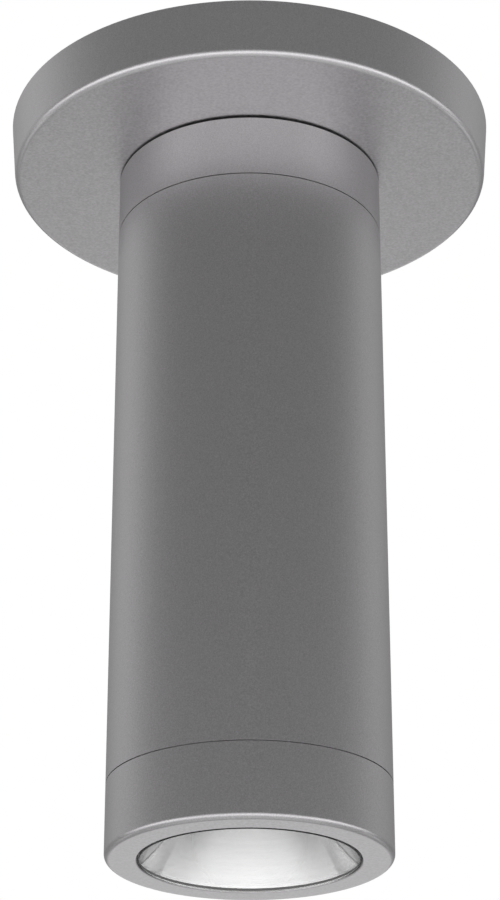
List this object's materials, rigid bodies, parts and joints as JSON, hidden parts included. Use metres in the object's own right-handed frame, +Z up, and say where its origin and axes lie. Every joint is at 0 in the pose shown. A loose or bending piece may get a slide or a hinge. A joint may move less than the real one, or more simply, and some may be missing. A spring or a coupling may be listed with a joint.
{
  "type": "cylinder downlight",
  "caption": "Ceiling-mounted cylinder downlight with a round canopy, plain tube body and a screw-on bezel that holds a flush glass lens over a mirror reflector.",
  "frame": {"origin": "centre of the mounting plate's upper face, in the ceiling plane", "axes": "+Z up into the ceiling along the cylinder's axis, +X through the two box slots"},
  "size_m": [0.129, 0.129, 0.2038],
  "materials": {
    "painted_aluminium": "satin silver-grey powder coat with a fine metallic grain",
    "zinc_steel": "bright zinc plate",
    "green_steel": "green dyed zinc plate",
    "black_silicone": "matt black silicone",
    "bare_aluminium": "machined",
    "thermal_grey": "soft grey pad",
    "mirror_aluminium": "specular anodised",
    "clear_glass": "clear tempered glass with a ground edge",
    "driver_plastic": "moulded",
    "terminal_plastic": "moulded",
    "circuit_board": "solder mask",
    "transformer_tape": "polyester tape",
    "capacitor_sleeve": "shrink sleeve",
    "led_ceramic": "white ceramic",
    "led_yellow": "phosphor silicone",
    "holder_plastic": "moulded",
    "red_insulation": "wire insulation",
    "black_insulation": "wire insulation"
  },
  "bodies": {
    "ceiling_mount": {"mounting_plate": "zinc_steel", "shoulder_screws": "zinc_steel", "ground_screw": "green_steel"},
    "fixture": {"canopy": "painted_aluminium", "collar": "painted_aluminium", "body_tube": "painted_aluminium", "hanger_plate": "zinc_steel", "hanger_screws": "zinc_steel", "stem_nipple": "zinc_steel", "stem_locknuts": "zinc_steel", "stem_lock_washers": "zinc_steel", "collar_screws": "zinc_steel", "driver_bracket": "zinc_steel", "bracket_screws": "zinc_steel", "driver_screws": "zinc_steel", "driver_lid_screws": "zinc_steel", "heat_sink_screws": "zinc_steel", "led_holder_screws": "zinc_steel", "ceiling_gasket": "black_silicone", "reveal_gasket": "black_silicone", "collar_o_ring": "black_silicone", "heat_sink_o_ring": "black_silicone", "lens_o_ring": "black_silicone", "heat_sink": "bare_aluminium", "thermal_pad": "thermal_grey", "reflector": "mirror_aluminium", "driver_case": "driver_plastic", "driver_lid": "driver_plastic", "input_terminal": "terminal_plastic", "driver_board": "circuit_board", "driver_transformer": "transformer_tape", "driver_capacitors": "capacitor_sleeve", "led_board": "led_ceramic", "led_phosphor": "led_yellow", "led_holder": "holder_plastic", "led_lead_red": "red_insulation", "led_lead_black": "black_insulation"},
    "lens_pack": {"lens": "clear_glass", "lens_gasket": "black_silicone"},
    "bezel": {"bezel": "painted_aluminium"}
  },
  "joints": [
    {"name": "twist_lock", "type": "hinge", "parent": "ceiling_mount", "child": "fixture", "pos_m": [0, 0, 0], "axis": [0, 0, -1], "range_deg": [0, 25]},
    {"name": "bezel_travel", "type": "slide", "parent": "fixture", "child": "lens_pack", "axis": [0, 0, -1], "range_m": [0, 0.008]},
    {"name": "bezel_turn", "type": "hinge", "parent": "lens_pack", "child": "bezel", "pos_m": [0, 0, 0], "axis": [0, 0, -1], "range_deg": [0, 1440]}
  ],
  "couplings": [
    {"joint": "bezel_travel", "follows": "bezel_turn", "m_per_rad": 0.00031831}
  ]
}
